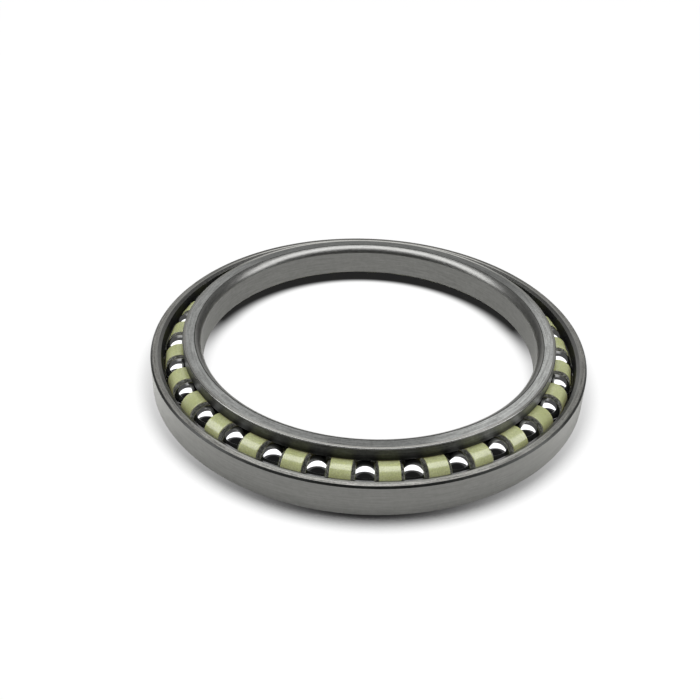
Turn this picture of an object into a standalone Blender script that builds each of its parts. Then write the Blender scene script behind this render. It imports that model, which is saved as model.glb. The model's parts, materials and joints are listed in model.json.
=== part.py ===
"""Thin-section angular contact ball bearing, lying flat on the back face of its outer ring.

It has two rings, one row of steel balls, and a loose nylon spacer between each pair of balls in
place of a cage. The outer ring's high shoulder is below the balls and the inner ring's is above
them, so the load runs from the inner ring's upper flank, down and outwards through each ball,
to the outer ring's lower flank. The inner ring stands proud of the outer ring at the top and
clears the table at the bottom, and the two rings come apart.

The bearing's axis is +Z. The origin is the centre of the outer ring's back face, at z = 0.
"""

import math

import bmesh
import bpy
from mathutils import Matrix, Vector

MM = 0.001
COLLECTION_NAME = "angular_contact_ball_bearing"

# Radial section, from the bore outwards
BORE_DIAMETER = 238.0 * MM
INNER_WALL = 5.55 * MM          # inner ring, from its bore to the bottom of its groove
BALL_DIAMETER = 20.638 * MM     # a ball of 13/16 inch
RUNNING_GAP = 0.331 * MM        # ball to groove, and ball to spacer
OUTER_WALL = 9.15 * MM          # outer ring, from the bottom of its groove to its outside

# Heights above and below the plane of the ball centres
OUTER_BACK_DEPTH = 14.6 * MM    # down to the outer ring's back face, which rests on the table
OUTER_FRONT_HEIGHT = 8.9 * MM   # up to the outer ring's front face
INNER_BACK_HEIGHT = 19.4 * MM   # up to the inner ring's back face
INNER_FRONT_DEPTH = 4.1 * MM    # down to the inner ring's front face

# Raceways
CONTACT_ANGLE = math.radians(40.0)      # between the contact line and the ball centres' plane
SHOULDER_HEIGHT = 7.65 * MM             # high shoulder above the bottom of its groove
LOW_SHOULDER_TAPER = math.radians(6.0)  # inner ring's low shoulder, falling away from the balls

# The outer ring's open side, from its front face down to the groove
FRONT_FACE_WIDTH = 3.75 * MM    # flat of the front face
LEAD_IN_WIDTH = 2.35 * MM       # bevel inside the front face, where the balls enter
LEAD_IN_DEPTH = 1.2 * MM
LEDGE_WIDTH = 0.75 * MM         # ledge just above the groove, at the foot of the wall
LEDGE_RISE = 0.4 * MM

# Edges of the rings
BORE_MOUTH_WIDTH = 4.5 * MM     # crowned bevel between the bore and the inner ring's back face
BORE_MOUTH_DEPTH = 5.1 * MM
BORE_MOUTH_RADIUS = 7.75 * MM
FACE_CHAMFER = 1.2 * MM         # the other corners that sit against a shaft, housing or spacer
LAND_CHAMFER = 0.5 * MM         # outer ring's high shoulder at its back face
LAND_ROUNDING = 0.7 * MM        # inner ring's high shoulder at its back face

# Balls and spacers
BALL_COUNT = 29
FIRST_BALL_ANGLE = math.radians(-90.6)
SPACER_DIAMETER_RELIEF = 0.638 * MM     # how much thinner a spacer is than a ball
SPACER_CUP_DEPTH = 2.8 * MM             # hollow in each end, where a ball seats
SPACER_RIM_WIDTH = 0.7 * MM             # flat rim round each hollow
SPACER_OUTWARD_SHIFT = 0.5 * MM         # spacer axis outside the line between two ball centres

# Facets
RING_STEPS = 72
GROOVE_ARC_STEPS = 5
MOUTH_ARC_STEPS = 4
LAND_ARC_STEPS = 2
BALL_SEGMENTS = 14
BALL_RINGS = 7
SPACER_STEPS = 12
CUP_ARC_STEPS = 2
SMOOTH_ANGLE = math.radians(25.0)
WELD_DISTANCE = 0.001 * MM

# Radii and heights that follow from the sizes above
BALL_RADIUS = BALL_DIAMETER / 2.0
GROOVE_RADIUS = BALL_RADIUS + RUNNING_GAP   # section of each groove, 52 % of the ball diameter
BORE_RADIUS = BORE_DIAMETER / 2.0
PITCH_RADIUS = BORE_RADIUS + INNER_WALL + GROOVE_RADIUS
OUTSIDE_RADIUS = PITCH_RADIUS + GROOVE_RADIUS + OUTER_WALL
BALL_HEIGHT = OUTER_BACK_DEPTH
OUTER_FRONT_Z = BALL_HEIGHT + OUTER_FRONT_HEIGHT
INNER_BACK_Z = BALL_HEIGHT + INNER_BACK_HEIGHT
INNER_FRONT_Z = BALL_HEIGHT - INNER_FRONT_DEPTH
SHOULDER_ANGLE = math.acos(1.0 - SHOULDER_HEIGHT / GROOVE_RADIUS)

# Spacing of the balls: the spacers fill the straight line from ball to ball
HALF_PITCH_ANGLE = math.pi / BALL_COUNT
BALL_CHORD = 2.0 * PITCH_RADIUS * math.sin(HALF_PITCH_ANGLE)
SPACER_LENGTH = BALL_CHORD - BALL_DIAMETER - 2.0 * RUNNING_GAP + 2.0 * SPACER_CUP_DEPTH
SPACER_RADIUS = (BALL_DIAMETER - SPACER_DIAMETER_RELIEF) / 2.0
SPACER_CENTRE_RADIUS = PITCH_RADIUS * math.cos(HALF_PITCH_ANGLE) + SPACER_OUTWARD_SHIFT


def clear_scene():
    for scene_object in list(bpy.data.objects):
        bpy.data.objects.remove(scene_object, do_unlink=True)


def new_collection(name):
    collection = bpy.data.collections.new(name)
    bpy.context.scene.collection.children.link(collection)
    return collection


def new_material(name, colour, metallic, roughness):
    material = bpy.data.materials.new(name)
    material.use_nodes = True
    shader = material.node_tree.nodes["Principled BSDF"]
    shader.inputs["Base Color"].default_value = (*colour, 1.0)
    shader.inputs["Metallic"].default_value = metallic
    shader.inputs["Roughness"].default_value = roughness
    return material


def arc(centre_x, centre_z, radius, start, end, steps):
    """Points on a round stretch of a profile, from the start angle to the end angle."""
    points = []
    for step in range(steps + 1):
        angle = start + (end - start) * step / steps
        points.append((centre_x + radius * math.cos(angle), centre_z + radius * math.sin(angle)))
    return points


def turned_mesh(name, profile, steps, is_loop):
    """Solid of revolution about Z: the profile is drawn in XZ, down its outer side, and turned."""
    outline = bpy.data.meshes.new(name + "_profile")
    edges = [(index, index + 1) for index in range(len(profile) - 1)]
    if is_loop:
        edges.append((len(profile) - 1, 0))
    outline.from_pydata([(x, 0.0, z) for x, z in profile], edges, [])

    lathe = bpy.data.objects.new(name + "_profile", outline)
    bpy.context.scene.collection.objects.link(lathe)
    screw = lathe.modifiers.new("Screw", "SCREW")
    screw.axis = "Z"
    screw.angle = 2.0 * math.pi
    screw.steps = steps
    screw.render_steps = steps
    screw.use_merge_vertices = True
    screw.merge_threshold = WELD_DISTANCE

    depsgraph = bpy.context.evaluated_depsgraph_get()
    mesh = bpy.data.meshes.new_from_object(lathe.evaluated_get(depsgraph))
    mesh.name = name
    bpy.data.objects.remove(lathe)
    bpy.data.meshes.remove(outline)

    welded = bmesh.new()
    welded.from_mesh(mesh)
    bmesh.ops.remove_doubles(welded, verts=welded.verts, dist=WELD_DISTANCE)
    welded.to_mesh(mesh)
    welded.free()
    return mesh


def finish_mesh(mesh, material):
    mesh.materials.clear()
    mesh.materials.append(material)
    mesh.shade_smooth()
    mesh.set_sharp_from_angle(angle=SMOOTH_ANGLE)


def outer_ring_profile():
    """Back face down. Above the groove the wall is set back and bevelled, so the balls drop in."""
    groove_bottom = PITCH_RADIUS + GROOVE_RADIUS
    shoulder_radius = groove_bottom - SHOULDER_HEIGHT
    lip_radius = OUTSIDE_RADIUS - FACE_CHAMFER - FRONT_FACE_WIDTH
    groove = arc(PITCH_RADIUS, BALL_HEIGHT, GROOVE_RADIUS, -SHOULDER_ANGLE, 0.0, GROOVE_ARC_STEPS)
    return [
        (OUTSIDE_RADIUS, OUTER_FRONT_Z - FACE_CHAMFER),
        (OUTSIDE_RADIUS, FACE_CHAMFER),
        (OUTSIDE_RADIUS - FACE_CHAMFER, 0.0),
        (shoulder_radius + LAND_CHAMFER, 0.0),
        (shoulder_radius, LAND_CHAMFER),
        *groove,
        (groove_bottom + LEDGE_WIDTH, BALL_HEIGHT + LEDGE_RISE),
        (lip_radius - LEAD_IN_WIDTH, OUTER_FRONT_Z - LEAD_IN_DEPTH),
        (lip_radius, OUTER_FRONT_Z),
        (OUTSIDE_RADIUS - FACE_CHAMFER, OUTER_FRONT_Z),
    ]


def bore_mouth():
    """Crowned bevel from the bore up to the back face: a shallow arc on the line between them."""
    foot = Vector((BORE_RADIUS, INNER_BACK_Z - BORE_MOUTH_DEPTH))
    brow = Vector((BORE_RADIUS + BORE_MOUTH_WIDTH, INNER_BACK_Z))
    half_line = (brow - foot) / 2.0
    into_steel = Vector((half_line.y, -half_line.x)).normalized()
    centre_depth = math.sqrt(BORE_MOUTH_RADIUS ** 2 - half_line.length_squared)
    centre = foot + half_line + into_steel * centre_depth
    start = math.atan2(foot.y - centre.y, foot.x - centre.x)
    end = math.atan2(brow.y - centre.y, brow.x - centre.x)
    return arc(centre.x, centre.y, BORE_MOUTH_RADIUS, start, end, MOUTH_ARC_STEPS)


def inner_ring_profile():
    """Back face up. Its high shoulder reaches over the balls, and its low one tapers away below."""
    shoulder_radius = PITCH_RADIUS - GROOVE_RADIUS + SHOULDER_HEIGHT
    groove = arc(PITCH_RADIUS, BALL_HEIGHT, GROOVE_RADIUS,
                 math.pi - SHOULDER_ANGLE, math.pi, GROOVE_ARC_STEPS)
    taper_drop = INNER_FRONT_DEPTH - FACE_CHAMFER
    low_shoulder_radius = PITCH_RADIUS - GROOVE_RADIUS - taper_drop * math.tan(LOW_SHOULDER_TAPER)
    land_edge = arc(shoulder_radius - LAND_ROUNDING, INNER_BACK_Z - LAND_ROUNDING,
                    LAND_ROUNDING, math.pi / 2.0, 0.0, LAND_ARC_STEPS)
    return [
        *land_edge,
        *groove,
        (low_shoulder_radius, INNER_FRONT_Z + FACE_CHAMFER),
        (low_shoulder_radius - FACE_CHAMFER, INNER_FRONT_Z),
        (BORE_RADIUS + FACE_CHAMFER, INNER_FRONT_Z),
        (BORE_RADIUS, INNER_FRONT_Z + FACE_CHAMFER),
        *bore_mouth(),
    ]


def spacer_profile():
    """Half section of a spacer standing on its end: a short round bar, dished at both ends."""
    half_length = SPACER_LENGTH / 2.0
    mouth_radius = SPACER_RADIUS - SPACER_RIM_WIDTH
    cup_radius = (mouth_radius ** 2 + SPACER_CUP_DEPTH ** 2) / (2.0 * SPACER_CUP_DEPTH)
    cup_centre = half_length - SPACER_CUP_DEPTH + cup_radius
    cup_angle = math.asin(mouth_radius / cup_radius)
    straight_down = -math.pi / 2.0
    top_cup = arc(0.0, cup_centre, cup_radius,
                  straight_down, straight_down + cup_angle, CUP_ARC_STEPS)
    bottom_cup = [(x, -z) for x, z in reversed(top_cup)]
    return [*top_cup, (SPACER_RADIUS, half_length), (SPACER_RADIUS, -half_length), *bottom_cup]


def ball_mesh():
    mesh = bpy.data.meshes.new("ball")
    sphere = bmesh.new()
    bmesh.ops.create_uvsphere(sphere, u_segments=BALL_SEGMENTS, v_segments=BALL_RINGS,
                              radius=BALL_RADIUS)
    sphere.to_mesh(mesh)
    sphere.free()
    return mesh


def add_piece(name, mesh, collection, parent=None, matrix=None):
    piece = bpy.data.objects.new(name, mesh)
    collection.objects.link(piece)
    piece.parent = parent
    if matrix is not None:
        piece.matrix_local = matrix
    return piece


def standing_axis(direction, location):
    """Matrix that stands a piece's own Z along a direction, at a location."""
    turn = Vector((0.0, 0.0, 1.0)).rotation_difference(Vector(direction))
    return Matrix.Translation(location) @ turn.to_matrix().to_4x4()


def ball_matrix(angle):
    """A ball at its angle round the bearing, its poles on the axis that it rolls about."""
    centre = (PITCH_RADIUS * math.cos(angle), PITCH_RADIUS * math.sin(angle), BALL_HEIGHT)
    spin_axis = (math.sin(CONTACT_ANGLE) * math.cos(angle),
                 math.sin(CONTACT_ANGLE) * math.sin(angle),
                 math.cos(CONTACT_ANGLE))
    return standing_axis(spin_axis, centre)


def spacer_matrix(angle):
    """A spacer at its angle round the bearing, its length along the tangent."""
    centre = (SPACER_CENTRE_RADIUS * math.cos(angle), SPACER_CENTRE_RADIUS * math.sin(angle),
              BALL_HEIGHT)
    return standing_axis((-math.sin(angle), math.cos(angle), 0.0), centre)


def build():
    clear_scene()
    collection = new_collection(COLLECTION_NAME)
    ground_steel = new_material("ground_bearing_steel", (0.19, 0.19, 0.18), 1.0, 0.35)
    polished_steel = new_material("polished_ball_steel", (0.55, 0.55, 0.56), 1.0, 0.06)
    nylon = new_material("pale_green_nylon", (0.42, 0.45, 0.22), 0.0, 0.3)

    outer_mesh = turned_mesh("outer_ring", outer_ring_profile(), RING_STEPS, is_loop=True)
    inner_mesh = turned_mesh("inner_ring", inner_ring_profile(), RING_STEPS, is_loop=True)
    spacer_mesh = turned_mesh("spacer", spacer_profile(), SPACER_STEPS, is_loop=False)
    round_mesh = ball_mesh()
    finish_mesh(outer_mesh, ground_steel)
    finish_mesh(inner_mesh, ground_steel)
    finish_mesh(spacer_mesh, nylon)
    finish_mesh(round_mesh, polished_steel)

    add_piece("outer_ring", outer_mesh, collection)
    add_piece("inner_ring", inner_mesh, collection)
    # The balls and spacers travel round together, between the two rings
    train = add_piece("ball_and_spacer_train", None, collection)
    for number in range(BALL_COUNT):
        angle = FIRST_BALL_ANGLE + 2.0 * HALF_PITCH_ANGLE * number
        add_piece(f"ball_{number + 1:02d}", round_mesh, collection, train, ball_matrix(angle))
        add_piece(f"spacer_{number + 1:02d}", spacer_mesh, collection, train,
                  spacer_matrix(angle + HALF_PITCH_ANGLE))


build()
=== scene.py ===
# %% [markdown]
# # A thin-section angular contact ball bearing
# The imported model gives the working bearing: two turned rings, twenty-nine balls and the nylon
# spacers between them, each at its real size and place. This script dresses that model. Every
# piece is made again as a fine surface on the same centre and the same radii, takes the finish that
# the real one has, and rides on the body of the solid that it stands for.

import json
import math

import bpy
import numpy as np
from mathutils import Matrix, Vector


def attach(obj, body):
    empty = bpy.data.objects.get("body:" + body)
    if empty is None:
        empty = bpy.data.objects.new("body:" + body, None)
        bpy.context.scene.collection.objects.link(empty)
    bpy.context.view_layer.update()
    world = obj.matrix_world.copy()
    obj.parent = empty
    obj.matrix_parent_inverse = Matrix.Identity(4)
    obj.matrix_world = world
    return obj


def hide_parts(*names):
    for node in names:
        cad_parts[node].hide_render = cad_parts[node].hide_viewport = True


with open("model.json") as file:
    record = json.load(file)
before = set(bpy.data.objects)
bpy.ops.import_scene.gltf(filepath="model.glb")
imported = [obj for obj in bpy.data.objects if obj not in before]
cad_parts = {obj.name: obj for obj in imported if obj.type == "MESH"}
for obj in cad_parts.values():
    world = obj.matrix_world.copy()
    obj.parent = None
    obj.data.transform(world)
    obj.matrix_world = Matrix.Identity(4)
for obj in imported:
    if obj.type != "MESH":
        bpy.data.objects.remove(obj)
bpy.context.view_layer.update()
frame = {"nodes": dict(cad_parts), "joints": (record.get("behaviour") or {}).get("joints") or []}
MM = 0.001

# %% [markdown]
# ## Sizes from the solids
# A turned ring is known by the radius and height of its corners. The radius of a corner is its
# distance from the bearing's axis, which is the Z axis here, so the largest and smallest radii of
# a solid's corners give its outside, its bore and its shoulders. Sizes that these don't give, such
# as chamfers and the running gap, are written out where the sections are made.

# %% Measure the rings
def corners_of(node):
    """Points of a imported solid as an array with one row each, in metres."""
    mesh = frame["nodes"][node].data
    flat = np.empty(len(mesh.vertices) * 3, np.float32)
    mesh.vertices.foreach_get("co", flat)
    return flat.reshape(-1, 3).astype(float)


def radii_and_heights(node):
    """Radius, the square root of x squared plus y squared, and height z of a solid's corners."""
    points = corners_of(node)
    return np.hypot(points[:, 0], points[:, 1]), points[:, 2]


outer_r, outer_z = radii_and_heights("outer_ring")
inner_r, inner_z = radii_and_heights("inner_ring")
OUTSIDE_RADIUS = outer_r.max()
OUTER_SHOULDER_RADIUS = outer_r.min()
OUTER_FRONT_Z = outer_z.max()
BORE_RADIUS = inner_r.min()
LAND_RADIUS = inner_r.max()
INNER_BACK_Z = inner_z.max()
INNER_FRONT_Z = inner_z.min()
print(f"outside {2e3 * OUTSIDE_RADIUS:.2f} mm, bore {2e3 * BORE_RADIUS:.2f} mm, "
      f"height {1e3 * INNER_BACK_Z:.2f} mm")

# %% Measure the balls
ball_joints = [joint for joint in frame["joints"] if joint["name"].startswith("ball_")]
ball_centres = np.array([joint["pos_m"] for joint in ball_joints])
ball_axes = np.array([joint["axis"] for joint in ball_joints])
BALL_COUNT = len(ball_joints)
PITCH_RADIUS = np.hypot(ball_centres[0, 0], ball_centres[0, 1])
BALL_Z = ball_centres[0, 2]
BALL_RADIUS = np.linalg.norm(corners_of("ball_01") - ball_centres[0], axis=1).max()
print(f"{BALL_COUNT} balls of {2e3 * BALL_RADIUS:.3f} mm on a circle of {2e3 * PITCH_RADIUS:.1f} mm")

# %% [markdown]
# ## The camera
# The bearing lies on a table and is seen from the front and above with a short telephoto lens. The
# lens follows from the distance at which the two rings show the right perspective, and a slight
# roll tips the picture, as in a hand-held photograph.

# %% Camera
SENSOR = 36.0                   # mm
FRAME_PIXELS = 700.0
FOCAL_PIXELS = 1000.0
CAMERA_ELEVATION = math.radians(34.73)
CAMERA_ROLL = math.radians(-2.07)
# Where the centre of the ring's footprint lies from the camera: right, down and ahead
FOOT_RIGHT = 12.89 * MM
FOOT_DOWN = 12.62 * MM
FOOT_AHEAD = 733.79 * MM

ahead = Vector((0.0, math.cos(CAMERA_ELEVATION), -math.sin(CAMERA_ELEVATION)))
level_right = Vector((1.0, 0.0, 0.0))
level_down = ahead.cross(level_right)
right = math.cos(CAMERA_ROLL) * level_right + math.sin(CAMERA_ROLL) * level_down
down = math.cos(CAMERA_ROLL) * level_down - math.sin(CAMERA_ROLL) * level_right

camera_data = bpy.data.cameras.new("camera")
camera_data.sensor_width = SENSOR
camera_data.lens = SENSOR * FOCAL_PIXELS / FRAME_PIXELS
camera = bpy.data.objects.new("camera", camera_data)
bpy.context.scene.collection.objects.link(camera)
camera.matrix_world = Matrix.Translation(
    -(FOOT_RIGHT * right + FOOT_DOWN * down + FOOT_AHEAD * ahead)
) @ Matrix((right, -down, -ahead)).transposed().to_4x4()
bpy.context.scene.camera = camera
print(f"lens {camera_data.lens:.2f} mm, camera at {tuple(round(c, 3) for c in camera.location)}")

# %% [markdown]
# ## Colours and nodes
# Colours are written as sRGB hex values, as a colour picker gives them, and turned to the linear
# values that shading works in. One helper adds any node, with its settings, values and links.

# %% Helpers for materials
def linear(hex_colour):
    """Linear RGBA of an sRGB hex colour: each channel is ((c + 0.055) / 1.055) to the power 2.4."""
    channels = np.array([int(hex_colour[i:i + 2], 16) for i in (1, 3, 5)]) / 255.0
    low = channels / 12.92
    high = ((channels + 0.055) / 1.055) ** 2.4
    return (*np.where(channels <= 0.04045, low, high).tolist(), 1.0)


def add_node(tree, kind, inputs, **settings):
    """Adds a node with its settings. An input that is a socket is linked, and any other is set."""
    node = tree.nodes.new(kind)
    for name, value in settings.items():
        setattr(node, name, value)
    for name, value in inputs.items():
        if isinstance(value, bpy.types.NodeSocket):
            tree.links.new(value, node.inputs[name])
        else:
            node.inputs[name].default_value = value
    return node


def new_material(name):
    """An empty node material and its tree, with a Principled shader wired to the surface."""
    material = bpy.data.materials.new(name)
    material.use_nodes = True
    tree = material.node_tree
    return material, tree, tree.nodes["Principled BSDF"]


# %% [markdown]
# ## Floor, room and light
# A long light panel overhead gives the white band across every ball. The room on the camera's side
# is dark, which is the black window in each ball, and behind the bearing a lit backdrop brightens
# the tops of the rings. To the camera alone the room is white, and the table glows so that it is as
# white. The glow hides the shadow that the lamps cast, so the table's shade is drawn instead, after
# the photograph. Outside the bearing it follows the openness, which is the part of the sky that
# nothing within reach hides: shade is 1 where openness is SHADE_FROM and 0 where it is 1. It is
# deepest in front, so it is multiplied by SIDE_SHADE + (1 - SIDE_SHADE) f squared, where f is how
# far a place lies to the front, from 0 at the sides to 1. Inside the bearing the shade is a strip
# under the inner ring. It begins at STRIP_START, which lies further in at the sides than at the
# back, is full at STRIP_END, and has its whole depth only towards the back.

# %% Floor
FLOOR_SIDE = 8.0
FLOOR_GLOW = 1.0
SIDE_REACH = 14.0 * MM          # how near a thing has to be to hide the sky
FRONT_REACH = 16.0 * MM
OPENNESS_SAMPLES = 8
SHADE_FROM = 0.61
SIDE_SHADE = 0.30
STRIP_START = (BORE_RADIUS - 7.0 * MM, BORE_RADIUS + 1.2 * MM)      # at the sides and at the back
STRIP_TURN = 0.5                # how far to the back STRIP_START begins to move outwards
STRIP_END = BORE_RADIUS + 8.1 * MM
STRIP_FADE = (0.10, 0.45)       # how far to the back the strip deepens,
STRIP_SHARE = (0.45, 1.0)       # and its depth on either side of that
DEEPEST_SHADE = 0.018           # brightness left where the shade is 1

floor_mesh = bpy.data.meshes.new("table_top")
half_side = FLOOR_SIDE / 2
floor_mesh.from_pydata([(-half_side, -half_side, 0.0), (half_side, -half_side, 0.0),
                        (half_side, half_side, 0.0), (-half_side, half_side, 0.0)],
                       [], [(0, 1, 2, 3)])
table_top = bpy.data.objects.new("table_top", floor_mesh)
bpy.context.scene.collection.objects.link(table_top)

white_card, tree, shader = new_material("white_card")
shader.inputs["Roughness"].default_value = 0.9
shader.inputs["Specular IOR Level"].default_value = 0.0
rays = tree.nodes.new("ShaderNodeLightPath")
floor_place = add_node(tree, "ShaderNodeSeparateXYZ",
                       {0: tree.nodes.new("ShaderNodeNewGeometry").outputs["Position"]})
floor_flat = add_node(tree, "ShaderNodeCombineXYZ", {"X": floor_place.outputs["X"],
                                                     "Y": floor_place.outputs["Y"]})
floor_radius = add_node(tree, "ShaderNodeVectorMath", {0: floor_flat.outputs[0]},
                        operation="LENGTH").outputs["Value"]
backness = add_node(tree, "ShaderNodeMath", {0: floor_place.outputs["Y"], 1: floor_radius},
                    operation="DIVIDE")
frontness = add_node(tree, "ShaderNodeMath", {0: backness.outputs[0], 1: 0.0},
                     operation="MINIMUM")
frontness = add_node(tree, "ShaderNodeMath", {0: frontness.outputs[0], 1: 2.0}, operation="POWER")
reach = add_node(tree, "ShaderNodeMapRange", {"Value": frontness.outputs[0],
                                              "To Min": SIDE_REACH, "To Max": FRONT_REACH})
openness = add_node(tree, "ShaderNodeAmbientOcclusion", {"Distance": reach.outputs[0]},
                    samples=OPENNESS_SAMPLES)
shade = add_node(tree, "ShaderNodeMapRange", {"Value": openness.outputs["AO"],
                                              "From Min": SHADE_FROM, "From Max": 1.0,
                                              "To Min": 1.0, "To Max": 0.0})
side_share = add_node(tree, "ShaderNodeMapRange", {"Value": frontness.outputs[0],
                                                   "To Min": SIDE_SHADE, "To Max": 1.0})
shade = add_node(tree, "ShaderNodeMath", {0: shade.outputs[0], 1: side_share.outputs[0]},
                 operation="MULTIPLY")
strip_start = add_node(tree, "ShaderNodeMapRange", {"Value": backness.outputs[0],
                                                    "From Min": STRIP_TURN,
                                                    "To Min": STRIP_START[0],
                                                    "To Max": STRIP_START[1]})
strip = add_node(tree, "ShaderNodeMapRange", {"Value": floor_radius,
                                              "From Min": strip_start.outputs[0],
                                              "From Max": STRIP_END},
                 interpolation_type="SMOOTHSTEP")
strip_share = add_node(tree, "ShaderNodeMapRange", {"Value": backness.outputs[0],
                                                    "From Min": STRIP_FADE[0],
                                                    "From Max": STRIP_FADE[1],
                                                    "To Min": STRIP_SHARE[0],
                                                    "To Max": STRIP_SHARE[1]})
strip = add_node(tree, "ShaderNodeMath", {0: strip.outputs[0], 1: strip_share.outputs[0]},
                 operation="MULTIPLY")
inside = add_node(tree, "ShaderNodeMath", {0: floor_radius, 1: OUTER_SHOULDER_RADIUS},
                  operation="LESS_THAN")
shade = add_node(tree, "ShaderNodeMix", {"Factor": inside.outputs[0], "A": shade.outputs[0],
                                         "B": strip.outputs[0]})
brightness = add_node(tree, "ShaderNodeMapRange", {"Value": shade.outputs[0], "To Min": 1.0,
                                                   "To Max": DEEPEST_SHADE})
seen = add_node(tree, "ShaderNodeMath", {0: rays.outputs["Is Camera Ray"],
                                         1: rays.outputs["Is Transmission Ray"]},
                operation="MAXIMUM")
card_colour = add_node(tree, "ShaderNodeMix", {"Factor": seen.outputs[0], "A": linear("#f0f0ee"),
                                               "B": linear("#1c1c1c")}, data_type="RGBA")
tree.links.new(card_colour.outputs[2], shader.inputs["Base Color"])
glow = add_node(tree, "ShaderNodeMath", {0: seen.outputs[0], 1: FLOOR_GLOW}, operation="MULTIPLY")
glow = add_node(tree, "ShaderNodeMath", {0: glow.outputs[0], 1: brightness.outputs[0]},
                operation="MULTIPLY")
shader.inputs["Emission Color"].default_value = (1.0, 1.0, 1.0, 1.0)
tree.links.new(glow.outputs[0], shader.inputs["Emission Strength"])
floor_mesh.materials.append(white_card)

# %% Room
WALL_LIGHT = 0.13
BACKDROP_LIGHT = 0.62
DARK_LIGHT = 0.02
DARK_EDGE = (0.36, 0.50)        # how far a direction points to the front where the dark side starts
BACKDROP_EDGE = (0.30, 0.60)    # how far to the back where the backdrop starts
BACKDROP_SIDE = (0.22, 0.45)    # how far to either side it fades out
BACKDROP_TOP = (0.58, 0.74)     # and how far up

world = bpy.data.worlds.new("photo_room")
bpy.context.scene.world = world
world.use_nodes = True
tree = world.node_tree
tree.nodes.clear()
direction = tree.nodes.new("ShaderNodeTexCoord").outputs["Generated"]
axes = add_node(tree, "ShaderNodeSeparateXYZ", {0: direction})


def fade(value, edge, start, end):
    """Smooth step of a world direction from the start value to the end value, across an edge."""
    return add_node(tree, "ShaderNodeMapRange",
                    {"Value": value, "From Min": edge[0], "From Max": edge[1], "To Min": start,
                     "To Max": end}, interpolation_type="SMOOTHSTEP").outputs[0]


to_front = add_node(tree, "ShaderNodeMath", {0: axes.outputs["Y"], 1: -1.0}, operation="MULTIPLY")
to_side = add_node(tree, "ShaderNodeMath", {0: axes.outputs["X"]}, operation="ABSOLUTE")
room = fade(to_front.outputs[0], DARK_EDGE, WALL_LIGHT, DARK_LIGHT)
backdrop = add_node(tree, "ShaderNodeMath", {0: fade(axes.outputs["Y"], BACKDROP_EDGE, 0.0, 1.0),
                                             1: fade(to_side.outputs[0], BACKDROP_SIDE, 1.0, 0.0)},
                    operation="MULTIPLY")
backdrop = add_node(tree, "ShaderNodeMath", {0: backdrop.outputs[0],
                                             1: fade(axes.outputs["Z"], BACKDROP_TOP, 1.0, 0.0)},
                    operation="MULTIPLY")
light = add_node(tree, "ShaderNodeMix", {"Factor": backdrop.outputs[0], "A": room,
                                         "B": BACKDROP_LIGHT})
rays = tree.nodes.new("ShaderNodeLightPath")
room_light = add_node(tree, "ShaderNodeBackground", {"Color": (1.0, 1.0, 0.98, 1.0),
                                                     "Strength": light.outputs[0]})
white_ground = add_node(tree, "ShaderNodeBackground", {"Color": (1.0, 1.0, 1.0, 1.0),
                                                       "Strength": 1.0})
shown = add_node(tree, "ShaderNodeMixShader", {0: rays.outputs["Is Camera Ray"],
                                               1: room_light.outputs[0],
                                               2: white_ground.outputs[0]})
add_node(tree, "ShaderNodeOutputWorld", {"Surface": shown.outputs[0]})

# %% Overhead panel
PANEL_HEIGHT = 0.80
PANEL_FRONT_Y = -0.36
PANEL_BACK_Y = 0.22
PANEL_LENGTH = 6.0
PANEL_RADIANCE = 2.5            # brightness of the panel itself, where a white surface is 1

panel_data = bpy.data.lights.new("overhead_panel", "AREA")
panel_data.shape = "RECTANGLE"
panel_data.size = PANEL_LENGTH
panel_data.size_y = PANEL_BACK_Y - PANEL_FRONT_Y
panel_data.energy = PANEL_RADIANCE * math.pi * panel_data.size * panel_data.size_y
panel_data.color = (1.0, 1.0, 1.0)
panel = bpy.data.objects.new("overhead_panel", panel_data)
bpy.context.scene.collection.objects.link(panel)
panel.location = (0.0, (PANEL_FRONT_Y + PANEL_BACK_Y) / 2, PANEL_HEIGHT)
bpy.context.scene.view_settings.view_transform = "Standard"
print(f"panel {panel_data.size:.1f} x {panel_data.size_y:.2f} m, {panel_data.energy:.1f} W")

# %% [markdown]
# ## Ring steel
# The rings are through-hardened bearing steel. Their faces and cylinders are ground, which leaves
# fine lines that run round the ring and a satin grey. Such lines spread a reflection across
# themselves, so the outer ring's face is bright in front and behind, where they lie crosswise to
# the eye, and dark at the sides. Corners and chamfers are turned, some bright and some dark in the
# photograph, and the raceways are honed. All of these are one metal with different colour and
# roughness, so one builder makes them. The lines come from noise that is stretched round the axis:
# its first two coordinates are the direction from the axis, which changes slowly, and its third is
# radius plus height, which changes quickly. The lamps here don't repeat the room of the
# photograph, so the colour of six finishes is also multiplied by a factor for each sector of the
# ring. That is light painted in, matched to the photograph: it is fixed to the ring, turns with it,
# and would have to come out under other light.

# %% Steel finishes
STREAK_TURNS = 9.0              # how quickly the noise changes round the ring
BLOTCH_SHARE = 0.35             # part of the tone that is blotches, and the rest is lines
TONE_RANGE = (0.36, 0.64)       # noise values that give the darkest and the lightest tone
ROUGH_RANGE = (0.25, 0.75)      # noise values that give the smoothest and the roughest steel
GRAZING = 2.2                   # how much the painted sheen brightens the outside at the shallowest view


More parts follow.
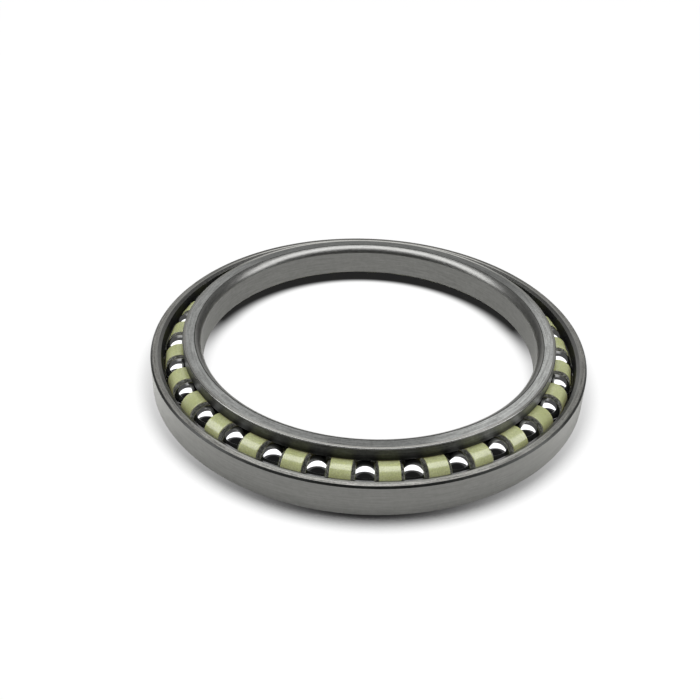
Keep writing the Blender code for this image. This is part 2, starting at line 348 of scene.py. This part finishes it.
def ring_steel(name, colour, roughness, line_spacing, line_depth, mottle, anisotropy, grain,
               adjust=None):
    """Ground or turned steel: streaks round the Z axis, spaced by line_spacing in metres. A function
    given as adjust adds nodes that return a factor for the colour."""
    material, tree, shader = new_material(name)
    place = tree.nodes.new("ShaderNodeTexCoord").outputs["Object"]
    parts = add_node(tree, "ShaderNodeSeparateXYZ", {0: place})
    flat_place = add_node(tree, "ShaderNodeCombineXYZ", {"X": parts.outputs["X"],
                                                         "Y": parts.outputs["Y"], "Z": 0.0})
    radius = add_node(tree, "ShaderNodeVectorMath", {0: flat_place.outputs[0]}, operation="LENGTH")
    around = add_node(tree, "ShaderNodeVectorMath", {0: flat_place.outputs[0]},
                      operation="NORMALIZE")
    across = add_node(tree, "ShaderNodeMath", {0: radius.outputs["Value"],
                                               1: parts.outputs["Z"]}, operation="ADD")
    across = add_node(tree, "ShaderNodeMath", {0: across.outputs[0], 1: 1.0 / line_spacing},
                      operation="MULTIPLY")
    turn = add_node(tree, "ShaderNodeVectorMath",
                    {0: around.outputs[0], 1: (STREAK_TURNS, STREAK_TURNS, 0.0)},
                    operation="MULTIPLY")
    rise = add_node(tree, "ShaderNodeCombineXYZ", {"X": 0.0, "Y": 0.0, "Z": across.outputs[0]})
    streak_place = add_node(tree, "ShaderNodeVectorMath", {0: turn.outputs[0], 1: rise.outputs[0]},
                            operation="ADD")
    streaks = add_node(tree, "ShaderNodeTexNoise", {"Vector": streak_place.outputs[0],
                                                    "Scale": 1.0, "Detail": 3.0,
                                                    "Roughness": 0.6})
    blotches = add_node(tree, "ShaderNodeTexNoise", {"Vector": place, "Scale": 1.0 / mottle,
                                                     "Detail": 4.0, "Roughness": 0.6})
    shade = add_node(tree, "ShaderNodeMix", {"Factor": BLOTCH_SHARE, "A": streaks.outputs["Fac"],
                                             "B": blotches.outputs["Fac"]})
    contrast = add_node(tree, "ShaderNodeMapRange", {"Value": shade.outputs[0],
                                                     "From Min": TONE_RANGE[0],
                                                     "From Max": TONE_RANGE[1]})
    darker = tuple((1.0 - grain) * c for c in linear(colour)[:3]) + (1.0,)
    lighter = tuple(min(1.0, (1.0 + grain) * c) for c in linear(colour)[:3]) + (1.0,)
    tint = add_node(tree, "ShaderNodeMix", {"Factor": contrast.outputs[0], "A": darker,
                                            "B": lighter}, data_type="RGBA")
    colour_socket = tint.outputs[2]
    if adjust is not None:
        colour_socket = add_node(tree, "ShaderNodeVectorMath",
                                 {0: colour_socket, 1: adjust(tree, parts, around)},
                                 operation="MULTIPLY").outputs[0]
    rough = add_node(tree, "ShaderNodeMapRange", {"Value": shade.outputs[0],
                                                  "From Min": ROUGH_RANGE[0],
                                                  "From Max": ROUGH_RANGE[1],
                                                  "To Min": 0.85 * roughness,
                                                  "To Max": 1.15 * roughness})
    bump = add_node(tree, "ShaderNodeBump", {"Height": streaks.outputs["Fac"], "Strength": 1.0,
                                             "Distance": line_depth})
    shader.inputs["Metallic"].default_value = 1.0
    shader.inputs["Anisotropic"].default_value = anisotropy
    tree.links.new(colour_socket, shader.inputs["Base Color"])
    tree.links.new(rough.outputs[0], shader.inputs["Roughness"])
    tree.links.new(bump.outputs[0], shader.inputs["Normal"])
    if anisotropy > 0.0:
        tangent = add_node(tree, "ShaderNodeTangent", {}, direction_type="RADIAL", axis="Z")
        tree.links.new(tangent.outputs[0], shader.inputs["Tangent"])
        shader.inputs["Anisotropic Rotation"].default_value = 0.25      # spread across the lines
    return material


def lobe(tree, around, degrees, edge, gain):
    """Factor painted over one sector: 1 + gain times a smooth step of the cosine of the angle from
    the middle of the sector, which is 0 at the first edge and 1 at the second."""
    middle = (math.cos(math.radians(degrees)), math.sin(math.radians(degrees)), 0.0)
    cosine = add_node(tree, "ShaderNodeVectorMath", {0: around.outputs[0], 1: middle},
                      operation="DOT_PRODUCT")
    return add_node(tree, "ShaderNodeMapRange", {"Value": cosine.outputs["Value"],
                                                 "From Min": edge[0], "From Max": edge[1],
                                                 "To Min": 1.0, "To Max": 1.0 + gain},
                    interpolation_type="SMOOTHSTEP").outputs[0]


def product(tree, first, second):
    """Two factors multiplied."""
    return add_node(tree, "ShaderNodeMath", {0: first, 1: second}, operation="MULTIPLY").outputs[0]


def outside_painted_sheen_and_shade(tree, parts, around):
    """Painted sheen on the outside: the colour times 1 + GRAZING (1 - cosine) cubed, which is far
    stronger at a shallow view than the gloss of bare steel, times a painted shade that darkens the
    right end."""
    facing = add_node(tree, "ShaderNodeLayerWeight", {"Blend": 0.5})
    cubed = add_node(tree, "ShaderNodeMath", {0: facing.outputs["Facing"], 1: 3.0},
                     operation="POWER")
    shallow = add_node(tree, "ShaderNodeMath", {0: cubed.outputs[0], 1: GRAZING, 2: 1.0},
                       operation="MULTIPLY_ADD")
    return product(tree, shallow.outputs[0], lobe(tree, around, 0.0, (0.80, 1.0), -0.55))


def lit_sectors(tree, parts, around):
    """Painted light on two sectors of the inner face, one in front on the right and a weaker one on
    the left."""
    return product(tree, lobe(tree, around, -24.0, (0.50, 0.95), 1.6),
                   lobe(tree, around, -165.0, (0.30, 0.95), 0.9))


def front_sector(tree, parts, around):
    """Painted light in front on the outer ring's face, and painted shade behind the inner ring."""
    return product(tree, lobe(tree, around, -90.0, (0.70, 1.0), 0.20),
                   lobe(tree, around, 90.0, (0.30, 0.90), -0.55))


def edge_sectors(tree, parts, around):
    """Painted shade at both sides, where a bright edge looks as the face does."""
    return product(tree, lobe(tree, around, 0.0, (0.50, 0.85), -0.62),
                   lobe(tree, around, 180.0, (0.50, 0.85), -0.62))


def bevel_front_painted_shade(tree, parts, around):
    """Painted shade in front on the bevel above the balls."""
    return lobe(tree, around, -90.0, (0.75, 0.97), -0.70)


def dark_foot(tree, parts, around):
    """Painted shade towards the lower edge of the land, and painted light on its right."""
    height = add_node(tree, "ShaderNodeMapRange", {"Value": parts.outputs["Z"],
                                                   "From Min": INNER_BACK_Z - 8.0 * MM,
                                                   "From Max": INNER_BACK_Z - 3.0 * MM,
                                                   "To Min": 0.30, "To Max": 1.10},
                      interpolation_type="SMOOTHSTEP")
    return product(tree, height.outputs[0], lobe(tree, around, -36.0, (0.80, 1.0), 1.2))


FINISHES = {
    "ground_face": ring_steel("ground_face", "#8f908f", 0.42, 0.8 * MM, 0.004 * MM, 1.4 * MM,
                              0.2, 0.34, lit_sectors),
    "bright_face": ring_steel("bright_face", "#b3b2ae", 0.37, 0.8 * MM, 0.003 * MM, 1.4 * MM,
                              0.8, 0.50, front_sector),
    # bright_edge is coloured near white: a painted highlight along the edge of a face.
    "bright_edge": ring_steel("bright_edge", "#f2f1ec", 0.18, 0.8 * MM, 0.002 * MM, 2.0 * MM,
                              0.0, 0.15, edge_sectors),
    "ground_cylinder": ring_steel("ground_cylinder", "#868684", 0.38, 0.9 * MM, 0.003 * MM,
                                  3.0 * MM, 0.3, 0.12, outside_painted_sheen_and_shade),
    "ground_bore": ring_steel("ground_bore", "#868684", 0.38, 0.9 * MM, 0.003 * MM,
                              3.0 * MM, 0.3, 0.16),
    "ground_land": ring_steel("ground_land", "#646561", 0.50, 0.6 * MM, 0.003 * MM, 2.0 * MM,
                              0.3, 0.40, dark_foot),
    # shadow_wall is coloured near black: painted shade on the wall beside the balls.
    "shadow_wall": ring_steel("shadow_wall", "#3c3d3c", 0.60, 0.8 * MM, 0.003 * MM, 2.0 * MM,
                              0.0, 0.30),
    "crowned_mouth": ring_steel("crowned_mouth", "#9a9a98", 0.32, 0.5 * MM, 0.002 * MM,
                                2.0 * MM, 0.3, 0.20),
    "turned_corner": ring_steel("turned_corner", "#9c9c9a", 0.17, 0.5 * MM, 0.002 * MM,
                                2.0 * MM, 0.0, 0.15),
    # dark_chamfer is steel coloured darker than the rest: painted shade on the chamfers.
    "dark_chamfer": ring_steel("dark_chamfer", "#4e4f4e", 0.35, 0.5 * MM, 0.002 * MM, 2.0 * MM,
                               0.0, 0.20),
    # The bevel above the balls: steel whose colour has painted shade in front.
    "oiled_bevel": ring_steel("oiled_bevel", "#868684", 0.30, 0.5 * MM, 0.002 * MM, 2.0 * MM,
                              0.0, 0.20, bevel_front_painted_shade),
    "honed_raceway": ring_steel("honed_raceway", "#6e6e6d", 0.20, 0.4 * MM, 0.001 * MM,
                                2.0 * MM, 0.0, 0.10),
}
FINISH_NAMES = list(FINISHES)
print("finishes:", ", ".join(FINISH_NAMES))

# %% [markdown]
# ## Turned surfaces
# Everything in this bearing is round about some axis: the rings about Z, each ball about the axis
# it rolls on, each spacer about the tangent of the ball circle. So one function is enough. It
# carries a profile round an axis: a profile point at radius r and distance a along the axis goes to
# centre + a * axis + r * (cos t * side + sin t * third), for every angle t on the grid.

# %% Surface of revolution
def revolve(name, radii, along, steps, centre, axis, is_loop):
    """Mesh of a profile carried round an axis. A loop closes on itself, and any other profile
    starts and ends on the axis, where its first and last points become poles."""
    axis = np.asarray(axis, float) / np.linalg.norm(axis)
    helper = np.array([1.0, 0.0, 0.0]) if abs(axis[0]) < 0.9 else np.array([0.0, 1.0, 0.0])
    side = helper - axis * (helper @ axis)
    side /= np.linalg.norm(side)
    third = np.cross(axis, side)
    angle = np.linspace(0.0, 2.0 * np.pi, steps, endpoint=False)
    spoke = np.cos(angle)[:, None] * side + np.sin(angle)[:, None] * third
    rows = slice(None) if is_loop else slice(1, -1)
    grid = (np.asarray(centre, float) + along[rows, None, None] * axis
            + radii[rows, None, None] * spoke[None, :, :])
    count = grid.shape[0]
    index = np.arange(count * steps).reshape(count, steps)
    upper = index if is_loop else index[:-1]
    lower = np.roll(index, -1, axis=0) if is_loop else index[1:]
    quads = np.stack([upper, lower, np.roll(lower, -1, axis=1), np.roll(upper, -1, axis=1)],
                     axis=-1).reshape(-1, 4)
    points = grid.reshape(-1, 3)
    faces = quads.tolist()
    if not is_loop:
        poles = np.asarray(centre, float) + np.outer(along[[0, -1]], axis)
        first, last = len(points), len(points) + 1
        points = np.vstack([points, poles])
        top, bottom = index[0], index[-1]
        faces += np.stack([np.full(steps, first), top, np.roll(top, -1)], axis=-1).tolist()
        faces += np.stack([np.full(steps, last), np.roll(bottom, -1), bottom], axis=-1).tolist()
    mesh = bpy.data.meshes.new(name)
    mesh.from_pydata(points.tolist(), [], faces)
    mesh.shade_smooth()
    piece = bpy.data.objects.new(name, mesh)
    bpy.context.scene.collection.objects.link(piece)
    return piece, len(quads)


# %% [markdown]
# ## Ring sections
# A ring's section is a closed outline. Sharp corners never catch the light as real edges do, so each
# corner is given a small radius: the corner point is swapped for an arc that is tangent to both
# sides. The side that leaves a corner carries the name of its finish.

# %% Outline with rounded corners
CORNER_STEPS = 6
HOLD = 0.04 * MM    # a point this close to each end keeps a flat side flat when shaded smooth


def round_corner(before, corner, after, radius):
    """Arc tangent to both sides of a corner. Its centre lies on the bisector, radius / sin(half)
    from the corner, where half is half the angle between the sides."""
    to_before = (before - corner) / np.linalg.norm(before - corner)
    to_after = (after - corner) / np.linalg.norm(after - corner)
    half = 0.5 * math.acos(np.clip(to_before @ to_after, -1.0, 1.0))
    bisector = (to_before + to_after) / np.linalg.norm(to_before + to_after)
    centre = corner + bisector * radius / math.sin(half)
    start = corner + to_before * radius / math.tan(half) - centre
    end = corner + to_after * radius / math.tan(half) - centre
    first = math.atan2(start[1], start[0])
    sweep = (math.atan2(end[1], end[0]) - first + math.pi) % (2 * math.pi) - math.pi
    angles = first + sweep * np.linspace(0.0, 1.0, CORNER_STEPS + 1)
    return centre + radius * np.stack([np.cos(angles), np.sin(angles)], axis=-1)


def outline(sides):
    """Points of a closed section and the finish of the side after each point. Each row of sides is
    (r, z, corner radius, finish of the corner, finish of the side that leaves it)."""
    corners = np.array([row[:2] for row in sides])
    points, finishes = [], []
    for i, (_, _, radius, corner_finish, side_finish) in enumerate(sides):
        before, after = corners[i - 1], corners[(i + 1) % len(sides)]
        if radius > 0.0:
            arc = round_corner(before, corners[i], after, radius)
            points.extend(arc)
            finishes.extend([corner_finish] * (len(arc) - 1) + [side_finish])
        else:
            points.append(corners[i])
            finishes.append(side_finish)
    return add_hold_points(np.array(points), finishes)


def add_hold_points(points, finishes):
    """Adds a point just inside both ends of every long straight side."""
    held, held_finishes = [], []
    for i, finish in enumerate(finishes):
        start, end = points[i], points[(i + 1) % len(points)]
        length = np.linalg.norm(end - start)
        held.append(start)
        held_finishes.append(finish)
        if length > 6 * HOLD:
            held.extend([start + (end - start) * HOLD / length,
                         end - (end - start) * HOLD / length])
            held_finishes.extend([finish, finish])
    return np.array(held), held_finishes


def ring(name, sides, body, node):
    """Fine ring from its section, with each stretch of the section in its own finish."""
    points, finishes = outline(sides)
    piece, quad_count = revolve(name, points[:, 0], points[:, 1], RING_STEPS,
                                (0.0, 0.0, 0.0), (0.0, 0.0, 1.0), is_loop=True)
    for finish in FINISH_NAMES:
        piece.data.materials.append(FINISHES[finish])
    indices = np.repeat([FINISH_NAMES.index(finish) for finish in finishes], RING_STEPS)
    piece.data.polygons.foreach_set("material_index", indices.astype(np.int32))
    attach(piece, body)
    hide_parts(node)
    print(f"{name}: {len(points)} points in its section, {2 * quad_count} triangles")
    return piece


# %% Sizes of the sections
RING_STEPS = 360
RUNNING_GAP = 0.331 * MM        # ball to groove
GROOVE_RADIUS = BALL_RADIUS + RUNNING_GAP
GROOVE_STEPS = 24
FACE_CHAMFER = 1.2 * MM
LAND_CHAMFER = 0.5 * MM
LAND_ROUNDING = 0.7 * MM
FRONT_FACE_WIDTH = 3.75 * MM
LEAD_IN_WIDTH = 2.35 * MM
LEAD_IN_DEPTH = 1.2 * MM
LEDGE_WIDTH = 0.75 * MM
LEDGE_RISE = 0.4 * MM
BORE_MOUTH_WIDTH = 4.5 * MM
BORE_MOUTH_DEPTH = 5.1 * MM
BORE_MOUTH_RADIUS = 7.75 * MM
LOW_SHOULDER_TAPER = math.radians(6.0)
EDGE = 0.15 * MM                # radius left on an edge by deburring
BRIGHT_LINE = 1.3 * MM          # width of the band along the edge of a face that is coloured near white as a painted highlight
DARK_LINE = 0.6 * MM            # width of the painted shade along the mouth of the bore
MOUTH_STEPS = 16
shoulder_angle = math.acos((OUTER_SHOULDER_RADIUS - PITCH_RADIUS) / GROOVE_RADIUS)


def groove_arc(start, end):
    """Section of a groove: points at the groove radius round the ball's centre."""
    angles = np.linspace(start, end, GROOVE_STEPS + 1)
    return np.stack([PITCH_RADIUS + GROOVE_RADIUS * np.cos(angles),
                     BALL_Z + GROOVE_RADIUS * np.sin(angles)], axis=-1)


# %% [markdown]
# ### Outer ring
# It stands on its back face. Inside, the high shoulder below the balls carries the thrust. Above the
# groove there is a narrow ledge, a steep wall and a bevel up to the front face, so that the balls
# drop in from above. The wall is coloured near black as painted shade, and frames the balls in
# black.

# %% Outer ring
groove_bottom = PITCH_RADIUS + GROOVE_RADIUS
lip_radius = OUTSIDE_RADIUS - FACE_CHAMFER - FRONT_FACE_WIDTH
outer_groove = [(r, z, 0.0, "honed_raceway", "honed_raceway")
                for r, z in groove_arc(-shoulder_angle, 0.0)]
outer_sides = [
    (OUTSIDE_RADIUS, OUTER_FRONT_Z - FACE_CHAMFER, EDGE, "turned_corner", "ground_cylinder"),
    (OUTSIDE_RADIUS, FACE_CHAMFER, EDGE, "dark_chamfer", "dark_chamfer"),
    (OUTSIDE_RADIUS - FACE_CHAMFER, 0.0, EDGE, "turned_corner", "ground_face"),
    (OUTER_SHOULDER_RADIUS + LAND_CHAMFER, 0.0, EDGE, "turned_corner", "turned_corner"),
    (OUTER_SHOULDER_RADIUS, LAND_CHAMFER, EDGE, "turned_corner", "ground_land"),
    *outer_groove,
    (groove_bottom + LEDGE_WIDTH, BALL_Z + LEDGE_RISE, 0.0, "shadow_wall", "shadow_wall"),
    (lip_radius - LEAD_IN_WIDTH, OUTER_FRONT_Z - LEAD_IN_DEPTH, EDGE, "oiled_bevel",
     "oiled_bevel"),
    (lip_radius, OUTER_FRONT_Z, EDGE, "turned_corner", "bright_edge"),
    (lip_radius + BRIGHT_LINE, OUTER_FRONT_Z, 0.0, "bright_face", "bright_face"),
    (OUTSIDE_RADIUS - FACE_CHAMFER, OUTER_FRONT_Z, EDGE, "dark_chamfer", "dark_chamfer"),
]
ring("outer_ring_ground", outer_sides, "outer_ring", "outer_ring")

# %% [markdown]
# ### Inner ring
# Its back face is on top and stands proud of the outer ring. The high shoulder reaches out over the
# balls and ends in a rounded edge. The mouth of the bore has a crowned bevel, which slides past a
# shaft's fillet: an arc through the bevel's two ends, whose centre lies inside the steel at
# sqrt(radius squared - half_line squared) from the middle of the line between them.

# %% Inner ring
def bore_mouth():
    """Points of the crowned bevel from the bore up to the back face, both ends included."""
    foot = np.array([BORE_RADIUS, INNER_BACK_Z - BORE_MOUTH_DEPTH])
    brow = np.array([BORE_RADIUS + BORE_MOUTH_WIDTH, INNER_BACK_Z])
    half_line = (brow - foot) / 2
    half_length = np.linalg.norm(half_line)
    into_steel = np.array([half_line[1], -half_line[0]]) / half_length
    centre = foot + half_line + into_steel * math.sqrt(BORE_MOUTH_RADIUS ** 2 - half_length ** 2)
    start = math.atan2(*(foot - centre)[::-1]) % (2 * math.pi)
    end = math.atan2(*(brow - centre)[::-1]) % (2 * math.pi)
    angles = np.linspace(start, end, MOUTH_STEPS + 1)
    return centre + BORE_MOUTH_RADIUS * np.stack([np.cos(angles), np.sin(angles)], axis=-1)


inner_groove = [(r, z, 0.0, "honed_raceway", "honed_raceway")
                for r, z in groove_arc(math.pi - shoulder_angle, math.pi)]
taper_drop = BALL_Z - INNER_FRONT_Z - FACE_CHAMFER
low_radius = PITCH_RADIUS - GROOVE_RADIUS - taper_drop * math.tan(LOW_SHOULDER_TAPER)
mouth = [(r, z, 0.0, "crowned_mouth", "crowned_mouth") for r, z in bore_mouth()]
mouth[0] = (*mouth[0][:2], EDGE, "turned_corner", "crowned_mouth")
mouth[-1] = (*mouth[-1][:2], EDGE, "dark_chamfer", "dark_chamfer")
inner_sides = [
    (LAND_RADIUS, INNER_BACK_Z, LAND_ROUNDING, "turned_corner", "ground_land"),
    *inner_groove,
    (low_radius, INNER_FRONT_Z + FACE_CHAMFER, EDGE, "turned_corner", "turned_corner"),
    (low_radius - FACE_CHAMFER, INNER_FRONT_Z, EDGE, "turned_corner", "ground_face"),
    (BORE_RADIUS + FACE_CHAMFER, INNER_FRONT_Z, EDGE, "turned_corner", "turned_corner"),
    (BORE_RADIUS, INNER_FRONT_Z + FACE_CHAMFER, EDGE, "turned_corner", "ground_bore"),
    *mouth,
    (BORE_RADIUS + BORE_MOUTH_WIDTH + DARK_LINE, INNER_BACK_Z, 0.0, "ground_face", "ground_face"),
    (LAND_RADIUS - LAND_ROUNDING - BRIGHT_LINE, INNER_BACK_Z, 0.0, "bright_edge", "bright_edge"),
]
ring("inner_ring_ground", inner_sides, "inner_ring", "inner_ring")

# %% [markdown]
# ## Balls
# Bearing balls are lapped between plates until they are round to a fraction of a micron, so they
# are almost perfect mirrors. A mirror shows every facet, so each ball is a fine sphere.

# %% Ball steel
BALL_ROUGHNESS = 0.03
FILM_PATCH = 4 * MM             # size of the patches in the thin film of oil
lapped_steel, tree, shader = new_material("lapped_ball_steel")
shader.inputs["Metallic"].default_value = 1.0
place = tree.nodes.new("ShaderNodeTexCoord").outputs["Object"]
film = add_node(tree, "ShaderNodeTexNoise", {"Vector": place, "Scale": 1.0 / FILM_PATCH,
                                             "Detail": 3.0, "Roughness": 0.5})
film_rough = add_node(tree, "ShaderNodeMapRange", {"Value": film.outputs["Fac"], "From Min": 0.3,
                                                   "From Max": 0.7, "To Min": 0.6 * BALL_ROUGHNESS,
                                                   "To Max": 1.6 * BALL_ROUGHNESS})
tree.links.new(film_rough.outputs[0], shader.inputs["Roughness"])
shader.inputs["Base Color"].default_value = linear("#c3c3c4")

# %% Balls
BALL_STEPS = 56
latitude = np.linspace(0.0, np.pi, BALL_STEPS // 2 + 1)
for number, (centre, axis) in enumerate(zip(ball_centres, ball_axes), start=1):
    # Distance along the axis is R cos(latitude), and distance from it is R sin(latitude)
    ball, quad_count = revolve(f"polished_ball_{number:02d}", BALL_RADIUS * np.sin(latitude),
                               BALL_RADIUS * np.cos(latitude), BALL_STEPS, centre, axis,
                               is_loop=False)
    ball.data.materials.append(lapped_steel)
    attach(ball, f"ball_{number:02d}")
    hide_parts(f"ball_{number:02d}")
print(f"balls: {BALL_COUNT}, {2 * quad_count} triangles each")

# %% [markdown]
# ## Spacers
# Each spacer is a short moulded bar of natural nylon, dished at both ends so that a ball seats in
# it. Nylon is pale, slightly green and lets a little light in, which softens its shadows, and its
# moulded skin gives one line of light along the top. The light that comes through from the far side
# is not worked out: a weak emission stands in for it.

# %% Nylon
NYLON_GLOW = 0.13               # stands in for the light that comes through
natural_nylon, tree, shader = new_material("natural_nylon")
place = tree.nodes.new("ShaderNodeTexCoord").outputs["Object"]
cloud = add_node(tree, "ShaderNodeTexNoise", {"Vector": place, "Scale": 1.0 / (14 * MM),
                                              "Detail": 2.0, "Roughness": 0.5})
tone = add_node(tree, "ShaderNodeMapRange", {"Value": cloud.outputs["Fac"], "From Min": 0.3,
                                             "From Max": 0.7})
nylon_tint = add_node(tree, "ShaderNodeMix", {"Factor": tone.outputs[0], "A": linear("#adb582"),
                                              "B": linear("#bfc698")}, data_type="RGBA")
skin = add_node(tree, "ShaderNodeTexNoise", {"Vector": place, "Scale": 1.0 / (0.8 * MM),
                                             "Detail": 3.0, "Roughness": 0.6})
skin_bump = add_node(tree, "ShaderNodeBump", {"Height": skin.outputs["Fac"], "Strength": 1.0,
                                              "Distance": 0.002 * MM})
speckle = add_node(tree, "ShaderNodeMapRange", {"Value": skin.outputs["Fac"], "From Min": 0.36,
                                                "From Max": 0.64, "To Min": 0.84, "To Max": 1.14})
nylon_tint = add_node(tree, "ShaderNodeVectorMath", {0: nylon_tint.outputs[2],
                                                     1: speckle.outputs[0]},
                      operation="MULTIPLY")
tree.links.new(nylon_tint.outputs[0], shader.inputs["Base Color"])
tree.links.new(skin_bump.outputs[0], shader.inputs["Normal"])
shader.inputs["Roughness"].default_value = 0.17
shader.inputs["IOR"].default_value = 1.65
shader.inputs["Specular IOR Level"].default_value = 0.75
shader.inputs["Emission Color"].default_value = linear("#b8b07c")
shader.inputs["Emission Strength"].default_value = NYLON_GLOW
shader.inputs["Subsurface Weight"].default_value = 0.35
shader.inputs["Subsurface Radius"].default_value = (1.0, 1.0, 0.5)
shader.inputs["Subsurface Scale"].default_value = 2.0 * MM

# A cup is the same nylon, coloured in light and dark grey mottles in place of its green. A faint
# emission stands in for the light that comes through it.
CUP_GLOW = 0.08
greased_cup, tree, shader = new_material("greased_cup")
place = tree.nodes.new("ShaderNodeTexCoord").outputs["Object"]
cup_mottles = add_node(tree, "ShaderNodeTexNoise", {"Vector": place, "Scale": 1.0 / (1.6 * MM),
                                               "Detail": 3.0, "Roughness": 0.6})
cup_mottles = add_node(tree, "ShaderNodeMapRange", {"Value": cup_mottles.outputs["Fac"], "From Min": 0.38,
                                               "From Max": 0.62})
cup_grey_tone = add_node(tree, "ShaderNodeMix", {"Factor": cup_mottles.outputs[0], "A": linear("#6c6d66"),
                                          "B": linear("#dcdcd4")}, data_type="RGBA")
tree.links.new(cup_grey_tone.outputs[2], shader.inputs["Base Color"])
tree.links.new(cup_grey_tone.outputs[2], shader.inputs["Emission Color"])
shader.inputs["Emission Strength"].default_value = CUP_GLOW
shader.inputs["Roughness"].default_value = 0.30

# %% Spacer section
SPACER_STEPS = 64
CUP_DEPTH = 2.8 * MM
SPACER_EDGE = 0.5 * MM          # radius of the moulded end, which takes up most of the rim
RIM_WIDTH = 0.1 * MM            # flat that is left between that edge and the cup
CUP_STEPS = 8
EDGE_STEPS = 6


def spacer_axis(number):
    """Centre and axis of a spacer: the middle of its solid, and the tangent there."""
    points = corners_of(f"spacer_{number:02d}")
    centre = points.mean(axis=0)
    angle = math.atan2(centre[1], centre[0])
    return points, centre, np.array([-math.sin(angle), math.cos(angle), 0.0])


points, centre, axis = spacer_axis(1)
SPACER_HALF = np.abs((points - centre) @ axis).max()
SPACER_RADIUS = np.linalg.norm(np.cross(points - centre, axis), axis=1).max()
cup_mouth = SPACER_RADIUS - SPACER_EDGE - RIM_WIDTH
# A cup is part of a sphere: its radius is (mouth squared + depth squared) / (2 depth)
cup_radius = (cup_mouth ** 2 + CUP_DEPTH ** 2) / (2 * CUP_DEPTH)
cup_angle = np.linspace(0.0, math.asin(cup_mouth / cup_radius), CUP_STEPS + 1)
cup_r = cup_radius * np.sin(cup_angle)
cup_a = SPACER_HALF - CUP_DEPTH + cup_radius * (1 - np.cos(cup_angle))
edge_angle = np.linspace(math.pi / 2, 0.0, EDGE_STEPS + 1)
edge_r = SPACER_RADIUS - SPACER_EDGE + SPACER_EDGE * np.cos(edge_angle)
edge_a = SPACER_HALF - SPACER_EDGE + SPACER_EDGE * np.sin(edge_angle)
half_r = np.concatenate([cup_r, [cup_mouth + HOLD, edge_r[0] - HOLD], edge_r, [SPACER_RADIUS]])
half_a = np.concatenate([cup_a, [SPACER_HALF] * 2, edge_a, [edge_a[-1] - HOLD]])
spacer_r = np.concatenate([half_r, half_r[::-1]])
spacer_a = np.concatenate([half_a, -half_a[::-1]])
print(f"spacer {2e3 * SPACER_HALF:.2f} mm long, {2e3 * SPACER_RADIUS:.2f} mm across")

# %% Spacers
# Bands of faces between one profile point and the next, with the two fans at the poles last
cup_bands = np.zeros(len(spacer_r) - 3, bool)
cup_bands[:len(cup_r) - 1] = True
cup_bands[-(len(cup_r) - 1):] = True
in_cup = np.concatenate([np.repeat(cup_bands, SPACER_STEPS), np.ones(2 * SPACER_STEPS, bool)])
for number in range(1, BALL_COUNT + 1):
    _, centre, axis = spacer_axis(number)
    spacer, quad_count = revolve(f"nylon_spacer_{number:02d}", spacer_r, spacer_a, SPACER_STEPS,
                                 centre, axis, is_loop=False)
    spacer.data.materials.append(natural_nylon)
    spacer.data.materials.append(greased_cup)
    spacer.data.polygons.foreach_set("material_index", in_cup.astype(np.int32))
    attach(spacer, "spacer_train")
    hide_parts(f"spacer_{number:02d}")
print(f"spacers: {BALL_COUNT}, {2 * quad_count} triangles each")
